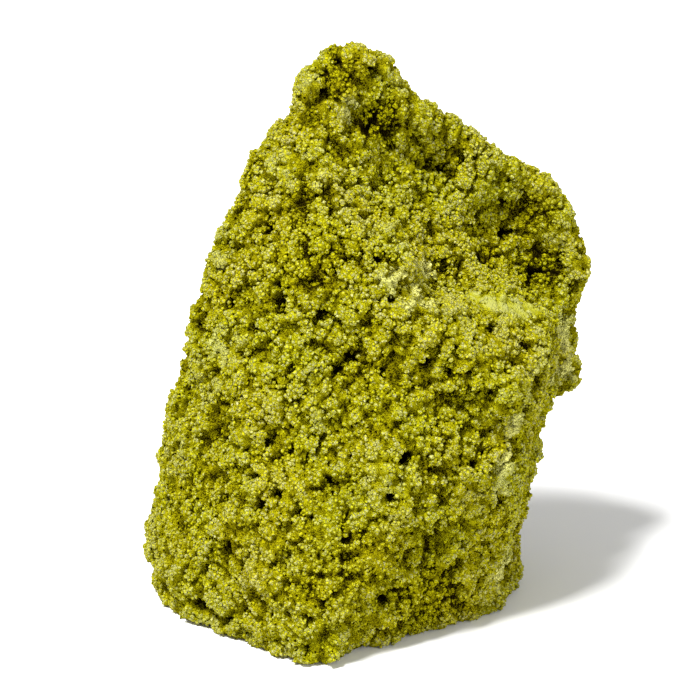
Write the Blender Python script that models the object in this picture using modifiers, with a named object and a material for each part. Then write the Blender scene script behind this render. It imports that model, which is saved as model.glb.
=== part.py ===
"""Nontronite specimen: one porous, granular lump of yellow-green clay mineral, as it was broken out.

The mass is made of four rough blocks fused together: a front block, a back slab that stands higher, a lobe
that hangs out to the right and a knob on top. Their outer corners are the driving dimensions. The blocks are
joined, their edges are worn round, hollows are sunk and lumps are raised in the surface, and the underside is
cut flat, which is what the specimen stands on.

Run with: blender --background --python part.py
The dimensions below are in millimetres, and the model is in metres. +Z is up, +X is to the right, and -Y is
the front.
"""

import bmesh
import bpy
from mathutils import Vector

MM = 0.001
MIDDLE = Vector((0.0, 2.2, 0.0))  # the middle of the sole in the corners' own frame, which becomes the origin
SUNK = -8.0  # height at which the blocks start, before the sole is cut at 0

# The front block: its broad broken face leans back towards the top left.
FRONT_BLOCK = [
    # sole, from the left round by the prow to the right
    (-26.8, 9.0, SUNK),
    (-24.0, -3.0, SUNK),
    (-16.0, -12.5, SUNK),
    (-7.0, -19.5, SUNK),
    (4.0, -6.5, SUNK),
    (15.5, -1.5, SUNK),
    # swelling above the sole
    (-29.4, 4.5, 4.5),
    (-29.7, 5.0, 9.0),
    (-28.5, 12.0, 8.0),
    (-28.3, 5.0, 15.0),
    (-25.5, -5.0, 8.0),
    (-6.0, -20.5, 7.0),
    (15.0, -7.5, 7.0),
    # broad front face
    (-17.0, -14.5, 20.0),
    (4.0, -17.0, 20.0),
    (18.0, -9.0, 21.0),
    (-11.5, -11.0, 45.0),
    (2.5, -11.5, 45.0),
    # left edge, up to the neck
    (-24.1, 4.0, 27.0),
    (-24.2, 2.0, 40.0),
    (-19.8, 2.0, 52.5),
    (-14.6, 2.0, 63.4),
    (-10.0, 1.0, 66.7),
    # crest of the shoulder, in front of the bowl
    (-4.0, -6.0, 60.0),
    (5.5, -8.0, 53.5),
    # lip and right edge of the slope that falls from the bowl to the front face
    (12.7, -10.9, 39.8),
    (16.6, -10.6, 38.3),
    (19.9, -9.4, 35.6),
    (20.8, -8.8, 31.5),
    (22.3, -7.6, 34.0),
    (23.6, -4.8, 36.8),
    (23.7, -2.0, 38.9),
    # top of the slope and floor of the bowl
    (17.5, -0.8, 43.6),
    (23.8, 2.0, 40.9),
    (-4.0, 3.0, 61.5),
    (8.0, 4.5, 53.0),
    (17.0, 4.0, 42.6),
    (25.0, 7.0, 38.0),
    # inside the mass
    (-5.0, 12.0, SUNK),
    (-10.0, 12.0, 60.0),
    (20.0, 8.0, 30.0),
]

# The back slab, whose upper edge is the rim of the bowl.
BACK_SLAB = [
    # rim, falling to the right
    (7.5, 5.5, 69.6),
    (12.5, 6.5, 64.9),
    (20.0, 8.5, 60.6),
    (27.6, 10.5, 54.6),
    # foot of the bowl's wall
    (-3.0, 4.0, 61.0),
    (8.0, 7.5, 52.5),
    (17.0, 6.5, 43.5),
    # right wall
    (24.0, 8.0, 27.0),
    (23.9, 8.0, 17.0),
    (19.2, 8.0, SUNK),
    (18.9, 1.8, SUNK),
    # left and back
    (-11.0, 6.0, 67.0),
    (-21.5, 10.0, 44.0),
    (-25.2, 14.0, 19.0),
    (-25.0, 15.0, SUNK),
    (-15.0, 22.0, SUNK),
    (-14.0, 23.0, 26.0),
    (11.0, 21.0, SUNK),
    (11.0, 24.0, 34.0),
    (21.0, 19.0, 26.0),
    (-6.0, 16.0, 66.0),
    (10.0, 20.0, 59.0),
    (22.0, 19.0, 47.0),
    (-12.0, 22.5, 44.0),
    (2.0, 25.0, 20.0),
]

# The lobe that overhangs on the right.
RIGHT_LOBE = [
    (28.0, 11.0, 52.0),
    (31.2, 10.0, 43.0),
    (29.7, 13.0, 40.0),
    (26.6, 8.0, 34.0),
    (29.0, 5.2, 30.3),
    (29.5, 10.5, 30.8),
    (28.7, 6.2, 27.3),
    (28.6, 11.5, 28.6),
    (25.6, 8.0, 26.2),
    (20.0, 5.0, 30.0),
    (20.0, 18.0, 27.0),
    (26.0, 16.0, 30.0),
    (25.0, 18.0, 46.0),
    (16.0, 12.0, 55.0),
    (14.0, 18.0, 40.0),
]

# The knob on top.
APEX_KNOB = [
    (-10.4, 1.0, 69.8),
    (-10.4, 0.0, 72.4),
    (-10.0, 5.5, 71.5),
    (-4.6, 1.0, 76.6),
    (-2.0, 2.0, 79.0),
    (3.2, 3.5, 75.3),
    (5.4, 4.0, 70.8),
    (3.5, 8.0, 74.5),
    (-3.5, 9.5, 74.5),
    (4.0, 12.0, 69.5),
    (-8.0, 11.0, 69.5),
    (-9.0, 8.0, 66.0),
    (6.0, 8.0, 64.0),
    (-1.0, 1.0, 62.0),
]

# Swellings and hollows: the centre and the radius of the ball that each one fits.
SWELLINGS = [
    ((1.5, -12.0, 25.0), 5.2),
    ((-8.5, -9.5, 34.5), 5.2),
    ((4.5, -6.6, 51.5), 3.6),
    ((15.4, -1.0, 0.8), 4.2),
]
HOLLOWS = [
    # under the knob
    ((-0.3, -1.0, 68.0), 4.8),
    ((-5.8, -1.0, 69.5), 3.2),
    # in the bowl, and over the slope below it
    ((9.5, 3.6, 60.0), 4.8),
    ((18.0, 5.0, 50.5), 5.2),
    ((23.0, 6.5, 45.0), 4.5),
    ((12.2, -4.2, 52.2), 7.3),
    # in the front face
    ((-6.2, -13.2, 45.8), 4.5),
    ((-2.1, -14.2, 40.7), 4.0),
    ((8.0, -14.6, 38.0), 4.2),
    ((11.5, -14.2, 33.5), 4.6),
    ((16.0, -12.8, 28.5), 4.6),
    ((-12.3, -18.3, 23.8), 4.0),
    ((-5.2, -17.8, 25.6), 3.5),
    ((7.5, -18.3, 12.0), 5.0),
    ((10.8, -14.0, 4.5), 4.4),
    ((0.5, -18.0, 0.5), 4.0),
    ((9.0, -12.0, -1.5), 4.2),
    # at the neck, and over the foot, on the left
    ((-29.2, 5.0, 25.5), 3.2),
    ((-13.0, 0.8, 67.8), 3.0),
    # behind the front block's right edge
    ((27.0, -1.5, 35.0), 3.6),
    ((25.2, -3.5, 29.5), 3.6),
    ((23.8, -4.0, 24.0), 3.2),
    # in the right wall
    ((24.0, 4.5, 8.0), 4.8),
    ((22.6, -1.5, 11.9), 3.6),
    # in the edge of the lobe
    ((32.2, 9.5, 36.0), 6.1),
]

FACE_SIDE = 1.8  # side of the surface's square faces
WEAR = 0.5  # how far one round of wear moves a point towards its neighbours
WEAR_ROUNDS = 4
SWELLS = 12.0  # distance from one broad swell of the surface to the next
SWELL_RISE = 2.2
SWELL_MIDDLE = 0.5
LUMPS = 5.2  # distance from one lump to the next
LUMP_RISE = -2.0  # the texture grows away from a lump's middle, so the rise is turned round
LUMP_MIDDLE = 0.4
SOLE_ROOM = 60.0  # half the side of the cube that cuts the sole

YELLOW_GREEN = (0.42, 0.40, 0.035, 1.0)
EARTHY_ROUGHNESS = 0.95


def clear_scene():
    for obj in list(bpy.data.objects):
        bpy.data.objects.remove(obj)


def collection_named(name):
    made = bpy.data.collections.new(name)
    bpy.context.scene.collection.children.link(made)
    return made


def object_of(shape, name, collection):
    """The bmesh as a named object in the collection."""
    mesh = bpy.data.meshes.new(name)
    shape.to_mesh(mesh)
    shape.free()
    obj = bpy.data.objects.new(name, mesh)
    collection.objects.link(obj)
    return obj


def in_place(point):
    return MM * (Vector(point) - MIDDLE)


def block(name, corners, collection):
    """The convex block that has these outer corners."""
    shape = bmesh.new()
    for corner in corners:
        shape.verts.new(in_place(corner))
    bmesh.ops.convex_hull(shape, input=shape.verts)
    bmesh.ops.recalc_face_normals(shape, faces=shape.faces)
    return object_of(shape, name, collection)


def ball(name, centre, radius, collection):
    shape = bmesh.new()
    bmesh.ops.create_icosphere(shape, subdivisions=3, radius=radius * MM)
    bmesh.ops.translate(shape, verts=shape.verts, vec=in_place(centre))
    return object_of(shape, name, collection)


def ground(name, collection):
    """A large cube whose top is the level of the sole."""
    shape = bmesh.new()
    bmesh.ops.create_cube(shape, size=2 * SOLE_ROOM * MM)
    bmesh.ops.translate(shape, verts=shape.verts, vec=(0.0, 0.0, -SOLE_ROOM * MM))
    return object_of(shape, name, collection)


def combine(mass, helper, operation):
    """Joins the helper to the mass, or cuts it away, and leaves the helper out of a render."""
    helper.hide_render = True
    helper.display_type = "WIRE"
    boolean = mass.modifiers.new(helper.name, "BOOLEAN")
    boolean.operation = operation
    boolean.object = helper


def wear_edges(mass):
    """Covers the mass with even faces, then rounds every edge a little."""
    even = mass.modifiers.new("even faces", "REMESH")
    even.mode = "VOXEL"
    even.voxel_size = FACE_SIDE * MM
    even.use_smooth_shade = True
    wear = mass.modifiers.new("wear", "SMOOTH")
    wear.factor = WEAR
    wear.iterations = WEAR_ROUNDS


def raise_relief(mass, texture, spacing, rise, middle):
    """Moves the surface along its normals by a solid texture, outwards where that is over its middle value."""
    texture.noise_scale = spacing * MM
    relief = mass.modifiers.new(texture.name, "DISPLACE")
    relief.texture = texture
    relief.texture_coords = "LOCAL"
    relief.strength = rise * MM
    relief.mid_level = middle


def nontronite():
    material = bpy.data.materials.new("nontronite")
    material.use_nodes = True
    surface = material.node_tree.nodes["Principled BSDF"]
    surface.inputs["Base Color"].default_value = YELLOW_GREEN
    surface.inputs["Roughness"].default_value = EARTHY_ROUGHNESS
    surface.inputs["Metallic"].default_value = 0.0
    return material


def build_mass(specimen, helpers):
    mass = block("nontronite_mass", FRONT_BLOCK, specimen)
    mass.data.materials.append(nontronite())
    combine(mass, block("back_slab", BACK_SLAB, helpers), "UNION")
    combine(mass, block("right_lobe", RIGHT_LOBE, helpers), "UNION")
    combine(mass, block("apex_knob", APEX_KNOB, helpers), "UNION")
    for number, (centre, radius) in enumerate(SWELLINGS, 1):
        combine(mass, ball(f"swelling_{number}", centre, radius, helpers), "UNION")
    for number, (centre, radius) in enumerate(HOLLOWS, 1):
        combine(mass, ball(f"hollow_{number}", centre, radius, helpers), "DIFFERENCE")
    wear_edges(mass)
    raise_relief(mass, bpy.data.textures.new("swells", "CLOUDS"), SWELLS, SWELL_RISE, SWELL_MIDDLE)
    raise_relief(mass, bpy.data.textures.new("lumps", "VORONOI"), LUMPS, LUMP_RISE, LUMP_MIDDLE)
    combine(mass, ground("below_the_sole", helpers), "DIFFERENCE")


clear_scene()
build_mass(collection_named("nontronite specimen"), collection_named("helpers"))
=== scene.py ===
# %% [markdown]
# # A nontronite specimen
# Nontronite is an iron-rich clay mineral. It grows as a soft, porous crust of tiny rounded grains, which
# crowd together into knots like the head of a cauliflower. This notebook dresses a fixed solid, the frame,
# with that surface. The solid already has the specimen's size, its knob, rim, hollow and lobe, and the flat
# base it stands on, so nothing here moves or resizes it.

import bmesh
import bpy
import numpy as np
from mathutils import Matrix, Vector
from mathutils.bvhtree import BVHTree


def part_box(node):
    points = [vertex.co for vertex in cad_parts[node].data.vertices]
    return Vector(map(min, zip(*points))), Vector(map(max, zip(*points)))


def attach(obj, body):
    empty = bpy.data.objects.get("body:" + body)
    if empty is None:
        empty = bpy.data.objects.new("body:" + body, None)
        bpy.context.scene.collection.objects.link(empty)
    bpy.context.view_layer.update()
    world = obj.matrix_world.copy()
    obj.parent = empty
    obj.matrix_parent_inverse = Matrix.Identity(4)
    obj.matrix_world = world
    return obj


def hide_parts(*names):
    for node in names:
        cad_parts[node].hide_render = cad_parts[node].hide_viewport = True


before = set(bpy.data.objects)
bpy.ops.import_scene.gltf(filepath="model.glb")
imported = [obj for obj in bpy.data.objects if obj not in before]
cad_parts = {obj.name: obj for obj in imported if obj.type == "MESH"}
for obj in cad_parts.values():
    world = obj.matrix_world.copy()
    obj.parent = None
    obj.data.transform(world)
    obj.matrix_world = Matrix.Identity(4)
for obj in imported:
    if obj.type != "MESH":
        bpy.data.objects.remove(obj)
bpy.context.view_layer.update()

NODE = "nontronite_mass"
BODY = "root"
MM = 0.001


low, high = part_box(NODE)
print("solid, mm:", [round(side / MM, 1) for side in high - low])

# %% [markdown]
# ## Random numbers that belong to places
# A rock has no repeats, yet the scene has to come out the same on every run. So no random generator runs
# here. Each cell of an endless 3-D lattice gets its own numbers by hashing its three whole coordinates, and
# the same place always gives the same numbers. Everything that looks random below is read from this. Each
# use of it passes a salt, a whole number of its own, so that two uses never share their numbers.

# %% Hash a lattice cell
PRIMES = np.array([73856093, 19349663, 83492791], np.uint64)


def chance(cells, salt):
    """One number from 0 to 1 for each whole-numbered cell: its coordinates are multiplied by large primes,
    mixed by shifts and multiplications, and scaled."""
    mixed = (cells.astype(np.int64).astype(np.uint64) * PRIMES).sum(-1, dtype=np.uint64)
    mixed = mixed + np.uint64(salt) * np.uint64(2654435761)
    for factor in (0xFF51AFD7ED558CCD, 0xC4CEB9FE1A85EC53):
        mixed = (mixed ^ (mixed >> np.uint64(33))) * np.uint64(factor)
    mixed = mixed ^ (mixed >> np.uint64(33))
    return (mixed >> np.uint64(11)).astype(float) / float(1 << 53)


def chances(cells, salt):
    """Three numbers from 0 to 1 for each cell."""
    return np.stack([chance(cells, salt * 3 + axis) for axis in range(3)], -1)


many = chance(np.arange(30000).reshape(-1, 3), 1)
print("chance over 10,000 cells: mean", many.mean().round(3), "spread", many.std().round(3))

# %% [markdown]
# ## Two noises
# Smooth noise makes slow swells and patches. Cell noise makes packed, rounded shapes with sharp gaps between
# them, which is how grains and knots of grains crowd together. Blender has textures for both, but the shape
# of the surface, the places of the grains and their colours must all agree, so both are worked out here on
# whole arrays of points.

# %% Smooth noise and cell noise
CORNERS = np.stack(np.meshgrid([0, 1], [0, 1], [0, 1], indexing="ij"), -1).reshape(-1, 3)
NEIGHBOURS = np.stack(np.meshgrid([-1, 0, 1], [-1, 0, 1], [-1, 0, 1], indexing="ij"), -1).reshape(-1, 3)


def smoothstep(start, end, value):
    """0 up to start and 1 from end on, joined by the curve 3t^2 - 2t^3."""
    share = np.clip((value - start) / (end - start), 0.0, 1.0)
    return share * share * (3.0 - 2.0 * share)


def swell(points, spacing, salt):
    """Smooth noise from 0 to 1: the numbers at the eight corners of each point's lattice cell, blended by the
    eased share of the way across it."""
    place = points / spacing
    cell = np.floor(place).astype(np.int64)
    across = smoothstep(0.0, 1.0, place - cell)
    total = np.zeros(len(points))
    for corner in CORNERS:
        weight = np.prod(np.where(corner, across, 1.0 - across), -1)
        total += weight * chance(cell + corner, salt)
    return total


def swells(points, spacing, salt, layers):
    """Smooth noise in several layers, each half as wide and half as strong as the one before."""
    total = np.zeros(len(points))
    strength = 1.0
    for layer in range(layers):
        total += strength * swell(points, spacing / 2**layer, salt + layer)
        strength *= 0.5
    return total / (2.0 - 2.0 * strength)


def packed(points, spacing, salt):
    """Cell noise: for each point the distances to its nearest and second nearest seed, in cell widths, and
    the nearest seed's own cell. Each lattice cell holds one seed at a place of its own."""
    place = points / spacing
    cell = np.floor(place).astype(np.int64)
    nearest = np.full(len(points), np.inf)
    second = np.full(len(points), np.inf)
    owner = cell.copy()
    for step in NEIGHBOURS:
        other = cell + step
        distance = np.linalg.norm(other + chances(other, salt) - place, axis=-1)
        closer = distance < nearest
        second = np.where(closer, nearest, np.minimum(second, distance))
        nearest = np.where(closer, distance, nearest)
        owner[closer] = other[closer]
    return nearest, second, owner


sample = np.linspace(0.0, 0.01, 5)[:, None] * np.ones(3)
print("swells:", swells(sample, 3.0 * MM, 1, 3).round(2), "packed:", packed(sample, 2.0 * MM, 1)[0].round(2))

# %% [markdown]
# ## The skin's grid
# The skin is one closed surface under the grains. It could be the solid's own mesh cut finer, but that is a
# patchwork of loose triangles. A grid of even cells takes relief better, so the skin starts as a cube with
# each face a grid of two parameters, u and v, swollen to a ball. The ball is then pushed outwards onto the
# solid, whose facets are worn away first on a copy.

# %% A ball made of six grids
SKIN_CELLS = 128  # cells along each side of each of the six grids
FLAT_MARGIN = 0.01  # of a grid's tile in the flat map, kept clear on each side


def cube_ball(cells):
    """Points of a unit ball, its quads, and a flat place for each quad's corners. Over each of the six faces
    of a cube, u and v run from -1 to 1, the point is (1, u, v) with its axes turned round, and u and v pass
    through tan(pi u / 4) so that the cells come out even. Whole-numbered lattice places, which neighbouring
    faces share, tell which points are the same one."""
    steps = np.arange(cells + 1)
    u, v = np.meshgrid(steps, steps, indexing="ij")
    corner = (u[:-1, :-1] * (cells + 1) + v[:-1, :-1]).ravel()
    quad = corner[:, None] + np.array([0, cells + 1, cells + 2, 1])
    places, quads, flats = [], [], []
    for face in range(6):
        axis, side = face // 2, face % 2
        lattice = np.stack([np.full(u.size, side * cells), u.ravel(), v.ravel()], -1)
        places.append(np.roll(lattice, axis, axis=1))
        quads.append((quad if side else quad[:, ::-1]) + face * u.size)
        tile = np.stack([u.ravel(), v.ravel()], -1) / cells
        inner = FLAT_MARGIN + (1.0 - 2.0 * FLAT_MARGIN) * tile
        flats.append((np.array([face % 3, face // 3]) + inner) / np.array([3.0, 2.0]))
    quads = np.concatenate(quads)
    flats = np.concatenate(flats)[quads]
    shared, index = np.unique(np.concatenate(places), axis=0, return_inverse=True)
    spread = np.tan(np.pi / 4 * (2.0 * shared / cells - 1.0))
    return spread / np.linalg.norm(spread, axis=1, keepdims=True), index.reshape(-1)[quads], flats


ball, quads, flats = cube_ball(SKIN_CELLS)
print("skin:", len(ball), "points,", 2 * len(quads), "triangles")

# %% Push the ball out onto the solid
HEART = Vector((0.0, 5.0, 36.0)) * MM  # a point from which the whole surface can be seen
WORN_FACE = 0.8 * MM  # side of the worn copy's faces
WORN_ROUNDS = 5  # rounds of smoothing that wear the solid's facets away
SETTLINGS = 8  # times that the skin is evened out and laid back on the worn copy
EVEN_ROUNDS = 30  # rounds of smoothing each time


def mesh_object(name, points, faces):
    """A new object at the origin, with its place in its mesh."""
    mesh = bpy.data.meshes.new(name)
    mesh.vertices.add(len(points))
    mesh.vertices.foreach_set("co", np.asarray(points, np.float32).ravel())
    sides = faces.shape[1]
    mesh.loops.add(faces.size)
    mesh.loops.foreach_set("vertex_index", np.asarray(faces, np.int32).ravel())
    mesh.polygons.add(len(faces))
    mesh.polygons.foreach_set("loop_start", np.arange(0, faces.size, sides, dtype=np.int32))
    mesh.update(calc_edges=True)
    mesh.shade_smooth()
    obj = bpy.data.objects.new(name, mesh)
    bpy.context.scene.collection.objects.link(obj)
    return obj


def worn_copy(node):
    """A merged copy of the solid with even, small faces and no facets."""
    shape = bmesh.new()
    shape.from_mesh(node.data)
    bmesh.ops.remove_doubles(shape, verts=shape.verts, dist=0.001 * MM)
    mesh = bpy.data.meshes.new("worn")
    shape.to_mesh(mesh)
    shape.free()
    worn = bpy.data.objects.new("worn", mesh)
    bpy.context.scene.collection.objects.link(worn)
    even = worn.modifiers.new("even", "REMESH")
    even.mode = "VOXEL"
    even.voxel_size = WORN_FACE
    wear = worn.modifiers.new("wear", "SMOOTH")
    wear.iterations = WORN_ROUNDS
    return worn


def evaluated(obj):
    """Points and outward normals of an object after its modifiers."""
    bpy.context.view_layer.update()
    made = obj.evaluated_get(bpy.context.evaluated_depsgraph_get()).to_mesh()
    points = np.empty(len(made.vertices) * 3, np.float32)
    normals = np.empty(len(made.vertices) * 3, np.float32)
    made.vertices.foreach_get("co", points)
    made.vertex_normals.foreach_get("vector", normals)
    return points.reshape(-1, 3).astype(float), normals.reshape(-1, 3).astype(float)


def wrapped(directions, faces, target):
    """The ball's directions followed out from the heart to the target, then evened out along it."""
    seed = mesh_object("seed", np.array(HEART) + directions * MM, faces)
    push = seed.modifiers.new("push", "SHRINKWRAP")
    push.wrap_method = "PROJECT"
    push.use_positive_direction = True
    push.target = target
    for count in range(SETTLINGS):
        even = seed.modifiers.new(f"even {count}", "SMOOTH")
        even.iterations = EVEN_ROUNDS
        settle = seed.modifiers.new(f"settle {count}", "SHRINKWRAP")
        settle.target = target
    points, normals = evaluated(seed)
    bpy.data.objects.remove(seed)
    return points, normals


worn = worn_copy(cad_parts[NODE])
half = np.array(high - low) / 2.0
directions = ball * half
directions /= np.linalg.norm(directions, axis=1, keepdims=True)
points, normals = wrapped(directions, quads, worn)
bpy.data.objects.remove(worn)
edge = np.linalg.norm(points[quads[:, 0]] - points[quads[:, 1]], axis=1) / MM
print("skin's cell side, mm, at 1, 50 and 99 percent:", np.percentile(edge, (1, 50, 99)).round(2))

# %% [markdown]
# ## The relief
# The real crust is a sponge of knots. Each knot is a cluster of grains about 2 mm across, knots gather in
# clumps, and here and there a pore goes deep. Sculpting this by hand would never end, and one noise texture
# would look like sand. Three sizes of cell noise, one inside the other, give rounded heads with sharp, dark
# gaps between them. The worn copy has shrunk a little, so the skin first swells out by half a millimetre, and
# every depth is measured inwards from there. The highest heads just reach the solid's own surface.

# %% Places of their own
# Some features are particular to this specimen. Each is placed by where it shows in a view from the front,
# drawn without perspective in steps of 0.13 mm: the column, counted from the left, and the row, counted from
# the top. Then come how far it reaches, in mm, and its strength. A pore is always at full strength.
VIEW_STEP = 0.13 * MM
VIEW_ORIGIN = (367.0, 602.7)  # column and row in which the frame's origin shows
VIEW_TILT_DEG = 22.0  # how far down it looks, and the camera too
VIEW_START = 200.0 * MM  # where its lines of sight start, in front of the origin
PORES = {
    "broad front, from the crest down": [
        (376, 262, 0.9), (280, 305, 1.8), (321, 318, 1.2), (227, 304, 1.0), (350, 357, 1.3), (423, 364, 0.9),
        (526, 348, 0.8), (445, 371, 1.1), (467, 392, 1.0), (453, 394, 1.2), (486, 402, 0.9), (290, 451, 0.9),
        (474, 465, 1.0), (328, 478, 0.9), (276, 490, 1.0),
    ],
    "hollow, and behind the crest": [
        (435, 140, 1.0), (460, 160, 1.0), (440, 170, 1.1), (412, 238, 0.8), (505, 234, 1.1), (448, 268, 0.9),
        (480, 260, 1.1), (532, 270, 1.1),
    ],
    "knob": [(325, 100, 1.2), (350, 105, 0.7), (370, 130, 1.2), (385, 142, 0.9)],
}
SMOOTH_SPOTS = {
    "rubbed ledge below the hollow": [
        (474, 300, 1.6, 1.0), (488, 304, 2.2, 1.0), (502, 308, 2.6, 1.0), (516, 311, 2.6, 1.0),
        (530, 309, 2.0, 1.0),
    ],
    "crest": [
        (402, 249, 1.0, 0.5), (405, 254, 1.0, 0.5), (410, 260, 1.0, 0.5), (418, 268, 1.1, 0.5),
        (425, 278, 1.1, 0.5),
    ],
    "lobe": [(556, 360, 0.9, 1.0)],
}
DUST_AND_LIGHT_SPOTS = {  # pale dust, each with painted light as well; a strength over 1 is so thick that it hides the crust's own colour
    "knob and shoulder": [
        (310, 90, 2.5, 1.2), (350, 111, 2.2, 2.6), (283, 168, 3.5, 0.6), (321, 175, 2.5, 0.6),
        (278, 201, 2.5, 0.6),
    ],
    "left ridge, from the top down": [
        (219, 253, 3.0, 1.2), (259, 299, 2.5, 0.6), (233, 348, 3.5, 0.8), (222, 347, 3.5, 1.6),
        (210, 392, 3.5, 0.8), (167, 452, 4.5, 0.8), (152, 539, 5.0, 0.7),
    ],
    "broad front": [
        (320, 418, 2.5, 0.6), (376, 478, 4.5, 0.6), (278, 481, 2.0, 0.6), (476, 501, 3.0, 0.6),
        (250, 568, 4.0, 0.6),
    ],
    "crest, from the top down": [
        (372, 232, 2.3, 0.8), (390, 243, 1.8, 1.0), (412, 263, 1.8, 2.0), (400, 282, 2.4, 3.0),
        (421, 273, 2.2, 3.0), (428, 272, 1.8, 3.0), (413, 300, 2.6, 2.4), (432, 284, 2.0, 0.8),
        (450, 305, 3.0, 0.6), (440, 312, 2.5, 0.8), (425, 320, 2.5, 0.8),
    ],
    "ledge and its front edge": [
        (462, 322, 2.8, 0.8), (505, 323, 3.5, 0.6), (485, 335, 3.0, 0.8), (510, 345, 2.5, 0.8),
        (540, 333, 1.5, 0.8),
    ],
    "right edge of the front, from the ledge down": [
        (544, 350, 1.6, 0.8), (536, 365, 2.5, 0.8), (537, 371, 1.6, 1.4), (528, 390, 1.6, 0.8),
        (521, 408, 1.6, 0.8), (517, 420, 2.2, 2.6), (513, 437, 2.2, 3.0), (510, 453, 2.2, 3.0),
        (506, 469, 2.2, 3.0), (502, 488, 2.4, 3.0),
    ],
    "right wall, the rim's end and the lobe": [
        (530, 440, 2.5, 0.6), (505, 570, 4.0, 2.6), (580, 270, 2.5, 0.6), (565, 330, 3.5, 2.6),
        (565, 370, 3.0, 2.4),
    ],
}
SHADY_SPOTS = {  # painted shade: the strength is how much deeper they count
    "knob, its neck and the shoulder": [(340, 85, 4.0, 0.4), (385, 120, 4.5, 0.42), (300, 260, 6.0, 0.18)],
    "hollow and the side of the crest": [
        (540, 215, 4.0, 0.3), (545, 262, 4.0, 0.3), (487, 258, 3.0, 0.22), (385, 262, 1.8, 0.25),
    ],
    "foot": [(430, 600, 8.0, 0.26), (330, 570, 9.0, 0.17)],
}


def on_solid(groups):
    """All the spots of the groups. In place of its column and row, each has the place in mm where the line of
    sight through them first meets the solid."""
    shape = bmesh.new()
    shape.from_mesh(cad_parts[NODE].data)
    surface = BVHTree.FromBMesh(shape)
    shape.free()
    tilt = np.radians(VIEW_TILT_DEG)
    ahead = Vector((0.0, np.cos(tilt), -np.sin(tilt)))
    above = Vector((0.0, np.sin(tilt), np.cos(tilt)))
    spots = []
    for column, row, reach, *strength in sum(groups.values(), []):
        start = above * ((VIEW_ORIGIN[1] - row) * VIEW_STEP) - ahead * VIEW_START
        start.x = (column - VIEW_ORIGIN[0]) * VIEW_STEP
        place = surface.ray_cast(start, ahead)[0]
        spots.append((np.array(place) / MM, reach, *(strength or [1.0])))
    return spots


pores, smooth_spots = on_solid(PORES), on_solid(SMOOTH_SPOTS)
dust_and_light_spots, shady_spots = on_solid(DUST_AND_LIGHT_SPOTS), on_solid(SHADY_SPOTS)
kinds = {"pores": pores, "smooth": smooth_spots, "dusty_and_lit": dust_and_light_spots, "shady": shady_spots}
print({kind: len(spots) for kind, spots in kinds.items()}, "first pore, mm:", pores[0][0].round(1))


RAGGED_SIZE = 1.6 * MM  # of the notches in a ragged spot's edge


def near(points, spots, core, ragged=0.0):
    """A spot's strength within its core, which is a share of its reach, and 0 beyond the reach, by the eased
    share between; the strongest spot counts. Noise as fine as the knots makes a ragged spot's edge."""
    strongest = np.zeros(len(points))
    edge = ragged * 2.0 * (swells(points, RAGGED_SIZE, 400, 2) - 0.5)
    for middle, reach, strength in spots:
        distance = np.linalg.norm(points / MM - middle, axis=1) / reach + edge
        strongest = np.maximum(strongest, (1.0 - smoothstep(core, 1.0, distance)) * strength)
    return strongest


# %% Sink the gaps between the knots
CLUMP = 5.0 * MM
CLUMP_DEPTH = 0.9 * MM
KNOT = 1.9 * MM
KNOT_DEPTH = 1.1 * MM
KNOT_STEP = 0.5 * MM  # how much lower than its neighbour a knot may sit
LOST_SHARE = 0.13  # share of the knots that have crumbled away
LOST_DEPTH = 1.1 * MM
PORE = 3.3 * MM
PORE_DEPTH = 2.0 * MM
PORE_SHARE = 0.35  # share of the pore cells that hold a pore
CLUMP_SIDE = 0.4  # how far in the rounded side of a clump's head reaches, in cell widths
KNOT_SIDE = 0.36
LOST_WALL = (0.02, 0.12)  # between which borders a lost knot's wall stands, in cell widths
PORE_WALL = (0.14, 0.34)  # how far from its middle a pore's wall stands, in cell widths
BEND = 1.2 * MM  # how far the cells' walls are bent
BEND_SPACING = 3.0 * MM
SWELL_OUT = 0.5 * MM  # how far the skin swells out before it sinks
SMOOTHED = 0.65  # how much of the relief a smooth spot has lost


def pillow(border, reach):
    """A rounded head with steep sides: the square root of 1 - (1 - border / reach)^2, and 1 beyond the
    reach. The border is how much nearer a point is to its own cell's middle than to the next one's."""
    return np.sqrt(1.0 - (1.0 - np.clip(border / reach, 0.0, 1.0)) ** 2)


def bent(points, reach, spacing, salt):
    """The points moved aside by smooth noise, so that no cell keeps straight walls."""
    aside = [swells(points, spacing, salt + 10 * axis, 2) - 0.5 for axis in range(3)]
    return points + 2.0 * reach * np.stack(aside, -1)


def relief(points):
    """How far each point sinks, and how near it is to the top of its knot, from 0 to 1: the creases round
    clumps and round knots, a step for each knot, the knots that are lost, and the pores, added up."""
    places = bent(points, BEND, BEND_SPACING, 100)
    clump, beside_clump, _ = packed(places, CLUMP, 200)
    knot, beside_knot, owner = packed(places, KNOT, 210)
    hole, _, holes = packed(places, PORE, 220)
    clump_head = pillow(beside_clump - clump, CLUMP_SIDE)
    knot_head = pillow(beside_knot - knot, KNOT_SIDE)
    lost = (chance(owner, 212) < LOST_SHARE) * smoothstep(*LOST_WALL, beside_knot - knot)
    pore = (1.0 - smoothstep(*PORE_WALL, hole)) * (chance(holes, 221) < PORE_SHARE)
    pore = np.maximum(pore, near(points, pores, core=0.45))
    sunk = CLUMP_DEPTH * (1.0 - clump_head) + KNOT_DEPTH * (1.0 - knot_head)
    sunk += KNOT_STEP * chance(owner, 211) + LOST_DEPTH * lost + PORE_DEPTH * pore
    spared = 1.0 - SMOOTHED * near(points, smooth_spots, core=0.4)
    return sunk * spared, knot_head


sunk, knot_head = relief(points)
skin_points = points + normals * (SWELL_OUT - sunk)[:, None]
skin_points = np.clip(skin_points, np.array(low), np.array(high))
print("sunk, mm, at 1, 50 and 99 percent:", np.percentile(sunk / MM, (1, 50, 99)).round(2))
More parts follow.
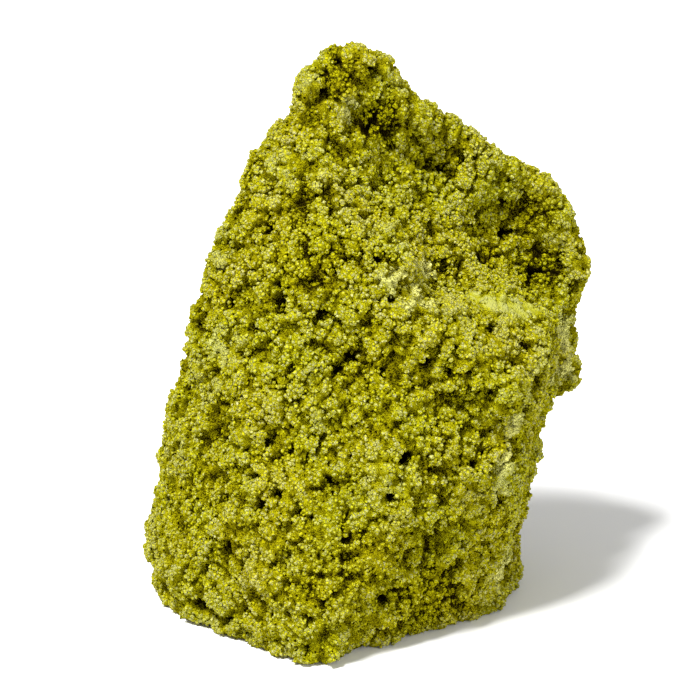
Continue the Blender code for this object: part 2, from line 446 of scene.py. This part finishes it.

# %% [markdown]
# ## Dust, painted light and painted shade
# Pale dust settles where the crust is rubbed, on ridges and on what faces up. Broad hollows get painted shade
# and ridges painted light, the shady spots painted shade, and the dusty spots painted light as well as dust.
# Which is ridge and which hollow comes from averaging the skin's points until its ridges are level: how far a
# point stands out from that is how proud it is. Both go to the colours as numbers from point to point.

# %% Lay the dust, the painted light and the painted shade
LEVELLING = 120  # rounds of averaging that level ridges and hollows as wide as a clump
PATCHY = 4.0 * MM  # size of the patches that the dust on ridges and tops comes in
PATCH_EDGE = (0.3, 0.6)  # between which values of the noise the edge of a patch runs
FACING_UP = (0.3, 0.9)  # between which heights of its normal a surface begins to gather dust, and has it all
STANDING_OUT = (0.1, 0.7)  # the same for how proud a ridge is, in mm
THICKEST = 2.0  # dust and painted light so thick that nothing shows through; at 1 they only hide the painted shade of how deep the crust is
RUBBED_DUST = 0.95
UP_DUST = 0.3
RIDGE_DUST = 0.4
SPOT_PAINTED_LIGHT = 0.16  # painted light: how much less deep a dusty spot looks
HOLLOW_DARK = 0.05  # painted shade in a broad hollow, how much deeper it counts for each mm, and painted light on a ridge, how much less it does
PROUDEST = 1.5  # mm from which on a ridge or a hollow counts no more


def spread_out(values, faces, rounds):
    """Each point's row of values averaged with those of the quads round it, so many times over."""
    shares = np.bincount(faces.ravel(), minlength=len(values))[:, None]
    for _ in range(rounds):
        middle = np.repeat(values[faces].mean(1), 4, axis=0)
        sums = [np.bincount(faces.ravel(), middle[:, axis], len(values)) for axis in range(values.shape[1])]
        values = np.stack(sums, -1) / shares
    return values


def dust_and_light_on(points, outward, proud, dusty_and_lit):
    """How much pale dust and painted light lies at each point: most on the rubbed spots, some on the dusty
    ones, where light is painted as well, and some, by slow noise, on ridges and wherever the surface faces
    up. Above 1 it hides the crust's own colour."""
    patchy = smoothstep(*PATCH_EDGE, swells(points, PATCHY, 420, 2))
    open_air = UP_DUST * smoothstep(*FACING_UP, outward[:, 2])
    open_air += RIDGE_DUST * smoothstep(*STANDING_OUT, proud)
    dusty_and_lit = np.maximum(dusty_and_lit, open_air * patchy)
    rubbed = RUBBED_DUST * near(points, smooth_spots, core=0.3)
    return np.clip(np.maximum(dusty_and_lit, rubbed), 0.0, THICKEST)


proud = ((points - spread_out(points, quads, LEVELLING)) * normals).sum(1) / MM
dusty_and_lit = near(points, dust_and_light_spots, core=0.25, ragged=0.9)
dust_and_light = dust_and_light_on(points, normals, proud, dusty_and_lit)
# Painted shade on the shady spots and in broad hollows, painted light on the dusty spots and on ridges.
painted_shade_and_light = near(points, shady_spots, core=0.3, ragged=0.4) - SPOT_PAINTED_LIGHT * dusty_and_lit
painted_shade_and_light -= HOLLOW_DARK * np.clip(proud, -PROUDEST, PROUDEST)
print("proud, mm, at 5, 50 and 95 percent:", np.percentile(proud, (5, 50, 95)).round(2))

# %% [markdown]
# ## The grains
# The grains are half a millimetre across, and there are tens of thousands. Particles would be quick, but
# they aren't mesh, so each grain is a small closed bead of sixteen triangles, joined with thousands of others
# in one object. Their places are the seeds of one more cell noise, wherever the skin passes through: packed
# as close as real grains, a little over or under each other. They crowd on the heads of the knots and leave
# the creases between knots open. A grain is turned, stretched and dented by its own numbers, so no two are
# alike.

# %% Find where the grains sit
GRAIN_GAP = 0.41 * MM  # from one grain's middle to the next, roughly
LOWEST, HIGHEST = -0.42, 0.45  # how far from the skin a seed may lie, in gaps, and still be a grain
SETTLED = 0.6  # share of its height over the skin that a grain loses
BEDDED = 0.07 * MM  # how deep in the skin the middle of a grain sits
OPEN_SIDE = 0.76  # how near the top of its knot a grain has to sit, from 0 to 1
OPEN_SPREAD = 0.2  # by how much that differs from grain to grain
BARE_FROM = 0.4  # how smooth a spot is before it loses its first grain; at 1 it has lost all
SOLE_CLEAR = 0.35 * MM  # no grain sits lower than this, so the base stays flat
SEARCHED = 3  # places looked at along each side of a skin cell
FARTHEST = 4096  # cells from the origin that any seed's cell stays within, along each axis


def on_grid(values, cell, u, v):
    """Values at the four corners of each skin cell, blended by the shares u and v. Every second face of the
    cube has its corners in the opposite order."""
    corners = values[quads[cell]]
    turned_face = cell // SKIN_CELLS**2 % 2 == 0
    corners[turned_face] = corners[turned_face, ::-1]
    shares = np.stack([(1 - u) * (1 - v), u * (1 - v), u * v, (1 - u) * v], -1)
    return (corners * shares[..., None]).sum(1)


def searched_places(side):
    """Every skin cell, side by side times over, with the shares u and v of the way across it."""
    cell, u, v = np.meshgrid(np.arange(len(quads)), np.arange(side), np.arange(side), indexing="ij")
    return cell.ravel(), (u.ravel() + 0.5) / side, (v.ravel() + 0.5) / side


def first_of_each(owner, distance):
    """For each seed's cell the one place that is nearest to it: places sorted by cell, then by distance, and
    the first of every cell taken."""
    span = 4 * FARTHEST
    key = (owner + FARTHEST) @ np.array([span**2, span, 1])
    order = np.lexsort((distance, key))
    return order[np.unique(key[order], return_index=True)[1]]


cell, across_u, across_v = searched_places(SEARCHED)
foot = on_grid(skin_points, cell, across_u, across_v)
outward = on_grid(normals, cell, across_u, across_v)
outward /= np.linalg.norm(outward, axis=1, keepdims=True)
foot_state = on_grid(np.stack([sunk, knot_head, dust_and_light, painted_shade_and_light], -1), cell, across_u, across_v)
distance, _, seed_cell = packed(foot, GRAIN_GAP, 300)
found = first_of_each(seed_cell, distance)
foot, outward, seed_cell = foot[found], outward[found], seed_cell[found]
foot_state = foot_state[found]
to_seed = (seed_cell + chances(seed_cell, 300)) * GRAIN_GAP - foot
rise = (to_seed * outward).sum(1) / GRAIN_GAP
smooth = near(foot, smooth_spots, core=0.4, ragged=0.4)
bare = smooth > BARE_FROM + (1.0 - BARE_FROM) * chance(seed_cell, 301)
bare |= foot_state[:, 1] < OPEN_SIDE + OPEN_SPREAD * (chance(seed_cell, 302) - 0.5)
kept = (rise > LOWEST) & (rise < HIGHEST) & (foot[:, 2] > SOLE_CLEAR) & ~bare
seat = foot + to_seed - outward * (SETTLED * rise * GRAIN_GAP + BEDDED)[:, None]
seat = seat[kept]
outward, foot_state, seed_cell = outward[kept], foot_state[kept], seed_cell[kept]
print("grains:", len(seat))

# %% Shape the grains
GRAIN = 0.275 * MM  # middle radius of a grain
GRAIN_SPREAD = 0.4  # how much larger or smaller than that a grain may be, as a share of it
DENT = 0.2  # how far a grain's points are pushed in or pulled out, as a share of its radius
STRETCH = 0.2  # how far it is stretched or squashed along each of its axes
RING_HEIGHT = 0.4  # how far from a bead's middle each of its rings is, as a share of its radius


def bead():
    """A ball of two parameters at its coarsest: a pole, two rings of four points that are turned half a step
    from each other, and a pole. Returns its points, its sixteen triangles and a flat place for each of their
    corners, in a sheet where the rings are level lines."""
    step = np.arange(4)
    after = (step + 1) % 4
    angle = np.concatenate([step, step + 0.5]) * np.pi / 2
    level = np.repeat([RING_HEIGHT, -RING_HEIGHT], 4)
    width = np.sqrt(1.0 - RING_HEIGHT**2)
    rings = np.stack([width * np.cos(angle), width * np.sin(angle), level], -1)
    top, bottom = np.zeros(4, int), np.full(4, 9)
    triangles = np.concatenate([
        np.stack([top, 1 + step, 1 + after], -1),
        np.stack([1 + step, 5 + step, 1 + after], -1),
        np.stack([5 + step, 5 + after, 1 + after], -1),
        np.stack([bottom, 5 + after, 5 + step], -1),
    ])
    along = np.concatenate([
        np.stack([step + 0.5, step, step + 1], -1),
        np.stack([step, step + 0.5, step + 1], -1),
        np.stack([step + 0.5, step + 1.5, step + 1], -1),
        np.stack([step + 1.0, step + 1.5, step + 0.5], -1),
    ])
    rise = np.repeat([[3, 2, 2], [2, 1, 2], [1, 1, 2], [0, 1, 1]], 4, axis=0)
    flat = np.stack([along / 4.5, rise / 3.0], -1)
    return np.concatenate([[[0, 0, 1]], rings, [[0, 0, -1]]]), triangles, flat


def turns(cells):
    """A rotation matrix for each grain, from four of its numbers used as a unit quaternion."""
    four = np.concatenate([chances(cells, 310), chances(cells, 320)[:, :1]], 1) - 0.5
    w, x, y, z = (four / np.linalg.norm(four, axis=1, keepdims=True)).T
    rows = [
        [1 - 2 * (y * y + z * z), 2 * (x * y - w * z), 2 * (x * z + w * y)],
        [2 * (x * y + w * z), 1 - 2 * (x * x + z * z), 2 * (y * z - w * x)],
        [2 * (x * z - w * y), 2 * (y * z + w * x), 1 - 2 * (x * x + y * y)],
    ]
    return np.moveaxis(np.array(rows), -1, 0)


def grain_points(seat, cells):
    """Each grain's points: the bead's, dented point by point, stretched along its axes, turned, scaled to the
    grain's radius and moved to its seat. For the dents, each of its points has a cell of a finer lattice."""
    corner = np.arange(len(bead_points))[:, None] * np.array([1, 0, 0])
    dent = 1.0 + DENT * (2.0 * chance(cells[:, None] * 16 + corner, 330) - 1.0)
    stretch = 1.0 + STRETCH * (2.0 * chances(cells, 340) - 1.0)
    radius = GRAIN * (1.0 + GRAIN_SPREAD * (2.0 * chance(cells, 350) - 1.0))
    shape = bead_points * dent[..., None] * stretch[:, None]
    shape = np.einsum("nij,nkj->nki", turns(cells), shape) * radius[:, None, None]
    return shape + seat[:, None]


bead_points, bead_faces, bead_flat = bead()
grains = grain_points(seat, seed_cell)
grains = np.clip(grains, np.array(low), np.array(high))
print("highest grain, mm:", (grains[..., 2].max() / MM).round(2))

# %% [markdown]
# ## Join the pieces
# The skin is one object, and the grains are joined in five, by the side of the specimen that they are on, so
# that no object is too heavy to handle. Each piece carries four numbers at every point for its colour: how
# deep it counts, which is how deep it lies with painted shade and light added, a chance number that all of
# one grain's points share, how much dust and painted light lies there, and how worn it is. Each also has a
# flat map in which no two faces overlap, for baking its colours.

# %% Build the skin and the grains
UPPER = 50.0 * MM  # height over which the grains are joined in a piece of their own
DEEPEST = 4.2 * MM  # how far a point sinks that counts as deep as can be
FOOT_DARK = 0.5  # painted shade: how much deeper a grain's foot counts than its tip, for its colour
UP_LIFT = 0.14  # painted light: how much less deep a grain's upper side counts
TIP_LIFT = 0.15  # painted highlight: how much less deep a grain's tip counts than the skin at its foot
UNDER_DARK = 0.25  # painted shade: how much deeper the skin between the grains counts
UNDER_SPARED = 0.5  # share of that which a smooth spot loses
CREASE_DARK = 0.2  # painted shade: how much deeper the bottom of a crease counts
DUST_SPREAD = 0.2  # how much more or less dust and painted light than its neighbours a grain may have, as a share of it
TILE_MARGIN = 0.04  # of a bead's tile in the flat map, kept clear on each side


def carry(obj, name, values):
    """One number for each point of the object, under a name that a material can read."""
    obj.data.attributes.new(name, "FLOAT", "POINT").data.foreach_set("value", values.astype(np.float32))


def lay_flat(obj, places):
    """A flat map from one place for each corner of each face."""
    obj.data.uv_layers.new(name="OFBake").uv.foreach_set("vector", places.astype(np.float32).ravel())


def grain_tiles(count):
    """The flat map of so many beads: a square sheet of tiles, one for each, with a narrow margin."""
    across = int(np.ceil(np.sqrt(count)))
    number = np.arange(count)
    tile = np.stack([number % across, number // across], -1)[:, None, None]
    return (tile + TILE_MARGIN + (1.0 - 2.0 * TILE_MARGIN) * bead_flat) / across


def finished(obj):
    """Ties a piece to the solid's body, and hides the solid."""
    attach(obj, BODY)
    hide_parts(NODE)
    return obj


def depth_of(sunk, head, painted_shade_and_light):
    """How deep a point counts for its colour, from 0 to about 1, with its painted shade and light."""
    return sunk / DEEPEST + CREASE_DARK * (1.0 - head) + painted_shade_and_light


def skin_piece():
    """The skin, with all its points at the same chance number."""
    skin = finished(mesh_object("skin", skin_points, quads))
    # Painted shade on the skin between the grains.
    under = UNDER_DARK * (1.0 - UNDER_SPARED * near(points, smooth_spots, core=0.4))
    carry(skin, "depth", np.clip(depth_of(sunk, knot_head, painted_shade_and_light) + under, 0.0, 1.0))
    carry(skin, "tone", np.full(len(sunk), 0.5))
    carry(skin, "dust_and_light", dust_and_light)
    carry(skin, "worn", near(points, smooth_spots, core=0.3))
    lay_flat(skin, flats)
    return skin


def grain_piece(name, chosen):
    """The chosen grains as one object. A grain counts as deep as the skin at its foot, with painted shade at
    its foot, a painted highlight on its tip and painted light on its upper side."""
    count = int(chosen.sum())
    faces = (bead_faces + len(bead_points) * np.arange(count)[:, None, None]).reshape(-1, 3)
    piece = finished(mesh_object(name, grains[chosen].reshape(-1, 3), faces))
    piece.data.shade_flat()
    from_seat = (grains[chosen] - seat[chosen][:, None]) / GRAIN
    tip = (from_seat * outward[chosen][:, None]).sum(-1).ravel()
    foot_sunk, foot_head, foot_dust_and_light, foot_painted_shade_and_light = foot_state[chosen].T
    depth = np.repeat(depth_of(foot_sunk, foot_head, foot_painted_shade_and_light), len(bead_points))
    # Painted shade at the foot, a painted highlight at the tip, painted light on the upper side.
    depth += FOOT_DARK * (1.0 - tip) / 2.0 - TIP_LIFT - UP_LIFT * from_seat[..., 2].ravel()
    share = 1.0 + DUST_SPREAD * (2.0 * chance(seed_cell[chosen], 370) - 1.0)
    carry(piece, "depth", np.clip(depth, 0.0, 1.0))
    carry(piece, "tone", np.repeat(chance(seed_cell[chosen], 360), len(bead_points)))
    carry(piece, "dust_and_light", np.repeat(np.clip(foot_dust_and_light * share, 0.0, THICKEST), len(bead_points)))
    carry(piece, "worn", near(grains[chosen].reshape(-1, 3), smooth_spots, core=0.3))
    lay_flat(piece, grain_tiles(count))
    print(name, count, "grains,", len(faces), "triangles")
    return piece


middle_y = (low[1] + high[1]) / 2.0
front_back = np.abs(seat[:, 1] - middle_y) * half[0] > np.abs(seat[:, 0]) * half[1]
upper = seat[:, 2] > UPPER
sides = {
    "grains_top": upper,
    "grains_front": ~upper & front_back & (seat[:, 1] < 0),
    "grains_back": ~upper & front_back & (seat[:, 1] >= 0),
    "grains_left": ~upper & ~front_back & (seat[:, 0] < 0),
    "grains_right": ~upper & ~front_back & (seat[:, 0] >= 0),
}
pieces = [skin_piece()] + [grain_piece(name, chosen) for name, chosen in sides.items()]

# %% [markdown]
# ## The colour of nontronite
# Fresh nontronite is a strong yellow-green. Its high grains are pale, creamy green, partly rubbed and dusted
# and partly painted highlight, and the gaps deep olive, nearly black, as painted shade where no light gets
# in.
# A ramp over each point's depth gives those three. The grain's own number, a fine mottle, specks, crumbs and
# pinholes all add to the depth, the crumbs' dimpled middles and the pinholes as painted shade, and slow noise
# makes greener and more ochre areas. Then come the dust, which on the dusty spots is painted light as well,
# and the wear. Crumbs, pinholes and specks are far too small for mesh, so they are a bump as well. Skin and
# grains share all this, in one group.

# %% Build the crust's shader group
# The depth ramp paints light and shade: TIP is the pale of the highest points, partly dust and partly painted
# highlight; SHADED and PORE_BLACK are painted shade in the gaps.
TIP = (0.465, 0.455, 0.21, 1.0)
FRESH = (0.45, 0.428, 0.005, 1.0)
SHADED = (0.27, 0.24, 0.002, 1.0)
PORE_BLACK = (0.014, 0.009, 0.001, 1.0)
# Dust colours; on the dusty spots they are painted light as well.
PALE_DUST_AND_LIGHT = (0.435, 0.425, 0.115, 1.0)
THICK_DUST_AND_LIGHT = (0.76, 0.74, 0.21, 1.0)
WORN_TINT = (0.8, 0.82, 0.9, 1.0)  # multiplies the colour where the crust is worn smooth
GREENER = (0.93, 0.97, 0.9, 1.0)
OCHRE = (1.0, 0.975, 1.0, 1.0)
PATCH_SIZE = 9.0 * MM  # of the greener and the more ochre areas
MOTTLE_SIZE = 1.1 * MM
CRUMB_SIZE = 0.45 * MM
SPECK_SIZE = 0.22 * MM
PINHOLE_SPACING = 1.0 * MM
TONE_DARK = 0.2  # how much deeper the darkest grain counts than the lightest
MOTTLE_DARK = 0.15
# Painted shade in the crumbs' dimpled middles and in the pinholes.
CRUMB_DARK = 0.2
SPECK_DARK = 1.3
PINHOLE_DARK = 0.45
WORN_PLAIN = 0.7  # share of the crumbs and specks that a fully worn place has lost
SPECK_HIGH = 0.4  # height of the specks in the bump, where the crumbs' is 1
BUMP = 0.25 * MM
CRUMB_EDGE = (0.02, 0.22)  # between which distances from a crumb's border it rises, in crumb widths
PINHOLE_EDGE = (0.1, 0.2)  # between which distances from its middle a pinhole ends, in spacings
MOTTLE_FROM = 0.45  # only mottle and specks above these count as deeper
SPECK_FROM = 0.5
DUST_FADES = (0.1, 0.45)  # between which depths the dust and painted light come to an end
DEPTH_COLOURS = [(0.0, TIP), (0.24, FRESH), (0.66, SHADED), (0.96, PORE_BLACK)]
PATCH_COLOURS = [(0.3, GREENER), (0.7, OCHRE)]
MOTTLE_SPAN = (0.2, 0.8)  # the mottle's usual range, over which the roughness runs
ROUGHNESS = (0.8, 1.0)


def grey(value):
    return (value, value, value, 1.0)


def feed(tree, socket, value):
    """Links a socket to another node's output, or sets it to a plain value."""
    if isinstance(value, bpy.types.NodeSocket):
        tree.links.new(value, socket)
    else:
        socket.default_value = value


def linked(tree, node_type, **inputs):
    """A new node whose named inputs are set to values or linked to other nodes' outputs."""
    node = tree.nodes.new(node_type)
    for name, value in inputs.items():
        feed(tree, node.inputs[name], value)
    return node


def attribute(tree, name):
    """One of the numbers that the pieces carry."""
    node = tree.nodes.new("ShaderNodeAttribute")
    node.attribute_name = name
    return node.outputs["Fac"]


def arithmetic(tree, operation, first, second, signed=False):
    """A sum, difference or product. A sum or a difference is kept from 0 to 1, unless it is signed."""
    node = tree.nodes.new("ShaderNodeMath")
    node.operation = operation
    node.use_clamp = operation != "MULTIPLY" and not signed
    feed(tree, node.inputs[0], first)
    feed(tree, node.inputs[1], second)
    return node.outputs[0]


def deeper(tree, depth, amount, how_much):
    """The depth with so much of an amount added."""
    return arithmetic(tree, "ADD", depth, arithmetic(tree, "MULTIPLY", amount, how_much))


def ramp(tree, factor, stops):
    """A colour that runs through the stops, each a place from 0 to 1 and a colour."""
    node = tree.nodes.new("ShaderNodeValToRGB")
    feed(tree, node.inputs["Fac"], factor)
    line = node.color_ramp
    line.elements.remove(line.elements[1])
    for index, (position, colour) in enumerate(stops):
        stop = line.elements[0] if index == 0 else line.elements.new(position)
        stop.position = position
        stop.color = colour
    return node.outputs["Color"]


def between(tree, factor, start, end, first=0.0, last=1.0):
    """A number that runs from first to last while the factor runs from start to end."""
    return ramp(tree, factor, [(start, grey(first)), (end, grey(last))])


def noise(tree, place, size, detail):
    """Smooth noise, with spots of about that size."""
    return linked(tree, "ShaderNodeTexNoise", Vector=place, Scale=1 / size, Detail=detail).outputs["Fac"]


def blended(tree, kind, factor, first, second):
    """The first colour with the second one mixed or multiplied in."""
    node = tree.nodes.new("ShaderNodeMix")
    node.data_type = "RGBA"
    node.blend_type = kind
    for index, value in ((0, factor), (6, first), (7, second)):
        feed(tree, node.inputs[index], value)
    return node.outputs[2]


def crust_group():
    """Colour, roughness and height of the crust at a point, from where it is and the numbers it carries."""
    group = bpy.data.node_groups.new("crust", "ShaderNodeTree")
    group.interface.new_socket(name="Color", in_out="OUTPUT", socket_type="NodeSocketColor")
    group.interface.new_socket(name="Roughness", in_out="OUTPUT", socket_type="NodeSocketFloat")
    group.interface.new_socket(name="Height", in_out="OUTPUT", socket_type="NodeSocketFloat")
    out = group.nodes.new("NodeGroupOutput")
    place = group.nodes.new("ShaderNodeTexCoord").outputs["Object"]
    patches = noise(group, place, PATCH_SIZE, detail=3.0)
    mottle = noise(group, place, MOTTLE_SIZE, detail=3.0)
    fine = noise(group, place, SPECK_SIZE, detail=2.0)
    crumbs = linked(group, "ShaderNodeTexVoronoi", Vector=place, Scale=1 / CRUMB_SIZE)
    crumbs.feature = "DISTANCE_TO_EDGE"
    pinholes = linked(group, "ShaderNodeTexVoronoi", Vector=place, Scale=1 / PINHOLE_SPACING)

    worn = attribute(group, "worn")
    unworn = arithmetic(group, "SUBTRACT", 1.0, arithmetic(group, "MULTIPLY", worn, WORN_PLAIN))
    # Painted shade in the crumbs' dimpled middles and in the pinholes.
    crumb = between(group, crumbs.outputs["Distance"], *CRUMB_EDGE)
    crumb = arithmetic(group, "MULTIPLY", crumb, unworn)
    speck = arithmetic(group, "MULTIPLY", arithmetic(group, "SUBTRACT", fine, SPECK_FROM), unworn)
    pinhole = between(group, pinholes.outputs["Distance"], *PINHOLE_EDGE, first=1.0, last=0.0)
    tone = arithmetic(group, "SUBTRACT", attribute(group, "tone"), 0.5, signed=True)

    depth = deeper(group, attribute(group, "depth"), tone, TONE_DARK)
    depth = deeper(group, depth, arithmetic(group, "SUBTRACT", mottle, MOTTLE_FROM), MOTTLE_DARK)
    depth = deeper(group, depth, crumb, CRUMB_DARK)
    depth = deeper(group, depth, speck, SPECK_DARK)
    depth = deeper(group, depth, pinhole, PINHOLE_DARK)

    colour = ramp(group, depth, DEPTH_COLOURS)
    # Dust pales the high places, and on the dusty spots it is painted light as well; above 1 it hides the
    # crust's colour.
    high = between(group, depth, *DUST_FADES, first=1.0, last=0.0)
    dust_and_light = arithmetic(group, "MULTIPLY", attribute(group, "dust_and_light"), high)
    colour = blended(group, "MIX", dust_and_light, colour, PALE_DUST_AND_LIGHT)
    colour = blended(group, "MIX", arithmetic(group, "SUBTRACT", dust_and_light, 1.0), colour, THICK_DUST_AND_LIGHT)
    colour = blended(group, "MULTIPLY", 1.0, colour, ramp(group, patches, PATCH_COLOURS))
    colour = blended(group, "MULTIPLY", worn, colour, WORN_TINT)
    group.links.new(colour, out.inputs["Color"])

    rough = between(group, mottle, *MOTTLE_SPAN, *ROUGHNESS)
    group.links.new(rough, out.inputs["Roughness"])
    height = arithmetic(group, "SUBTRACT", arithmetic(group, "SUBTRACT", 1.0, crumb), pinhole, signed=True)
    specks = arithmetic(group, "MULTIPLY", fine, SPECK_HIGH)
    group.links.new(arithmetic(group, "ADD", height, specks, signed=True), out.inputs["Height"])
    return group


def crust_material():
    """The earthy, quite matt surface of the skin and the grains."""
    material = bpy.data.materials.new("nontronite")
    material.use_nodes = True
    tree = material.node_tree
    surface = tree.nodes["Principled BSDF"]
    surface.inputs["Specular IOR Level"].default_value = 0.0
    crust = tree.nodes.new("ShaderNodeGroup")
    crust.node_tree = crust_group()
    bump = linked(tree, "ShaderNodeBump", Distance=BUMP, Height=crust.outputs["Height"])
    tree.links.new(crust.outputs["Color"], surface.inputs["Base Color"])
    tree.links.new(crust.outputs["Roughness"], surface.inputs["Roughness"])
    tree.links.new(bump.outputs["Normal"], surface.inputs["Normal"])
    return material


nontronite = crust_material()
for piece in pieces:
    piece.data.materials.append(nontronite)
print("material:", nontronite.name, "on", len(pieces), "pieces")

# %% [markdown]
# ## Floor, light and camera
# The floor is pale and plain. A key light from the upper left shows the relief, with a soft shadow, and a
# fill light from the right and a pale sky keep its dark side readable. The camera looks at the broad front
# from a little above, through a long lens, so that upright edges stay nearly parallel.

# %% Stage, lights and camera
FLOOR_SIDE = 6.0  # in metres, like the places, sizes and distances of the lights and the camera
PAPER = (0.92, 0.92, 0.92, 1.0)
PAPER_ROUGHNESS = 0.9
SKY_STRENGTH = 0.46
CAMERA_DISTANCE = 0.7
AIM = Vector((-2.2, 0.0, 35.4)) * MM
SEEN_WIDTH = 91.0 * MM  # width of the picture at the specimen
SENSOR = 36.0  # width of the camera's sensor, in its own millimetres

square = np.array([[-0.5, -0.5, 0.0], [0.5, -0.5, 0.0], [0.5, 0.5, 0.0], [-0.5, 0.5, 0.0]])
floor = mesh_object("floor", FLOOR_SIDE * square, np.array([[0, 1, 2, 3]]))
paper = bpy.data.materials.new("paper")
paper.use_nodes = True
paper.node_tree.nodes["Principled BSDF"].inputs["Base Color"].default_value = PAPER
paper.node_tree.nodes["Principled BSDF"].inputs["Roughness"].default_value = PAPER_ROUGHNESS
floor.data.materials.append(paper)


def soft_light(name, place, size, watts):
    """A square area light that faces the specimen."""
    data = bpy.data.lights.new(name, "AREA")
    data.size = size
    data.energy = watts
    light = bpy.data.objects.new(name, data)
    light.location = place
    light.rotation_euler = (AIM - light.location).to_track_quat("-Z", "Y").to_euler()
    bpy.context.scene.collection.objects.link(light)


soft_light("key", place=Vector((-0.4, -0.42, 1.2)), size=0.3, watts=35.0)
soft_light("fill", place=Vector((0.95, -0.8, 0.45)), size=0.8, watts=7.5)

world = bpy.data.worlds.new("studio")
world.use_nodes = True
world.node_tree.nodes["Background"].inputs["Color"].default_value = grey(1.0)
world.node_tree.nodes["Background"].inputs["Strength"].default_value = SKY_STRENGTH
bpy.context.scene.world = world

elevation = np.radians(VIEW_TILT_DEG)
lens = bpy.data.cameras.new("camera")
lens.sensor_width = SENSOR
lens.lens = SENSOR * CAMERA_DISTANCE / SEEN_WIDTH
camera = bpy.data.objects.new("camera", lens)
camera.location = AIM + CAMERA_DISTANCE * Vector((0.0, -np.cos(elevation), np.sin(elevation)))
camera.rotation_euler = (AIM - camera.location).to_track_quat("-Z", "Y").to_euler()
bpy.context.scene.collection.objects.link(camera)
bpy.context.scene.camera = camera
bpy.context.scene.view_settings.view_transform = "Standard"
print("lens, mm:", round(lens.lens), "lights:", [light.name for light in bpy.data.lights])
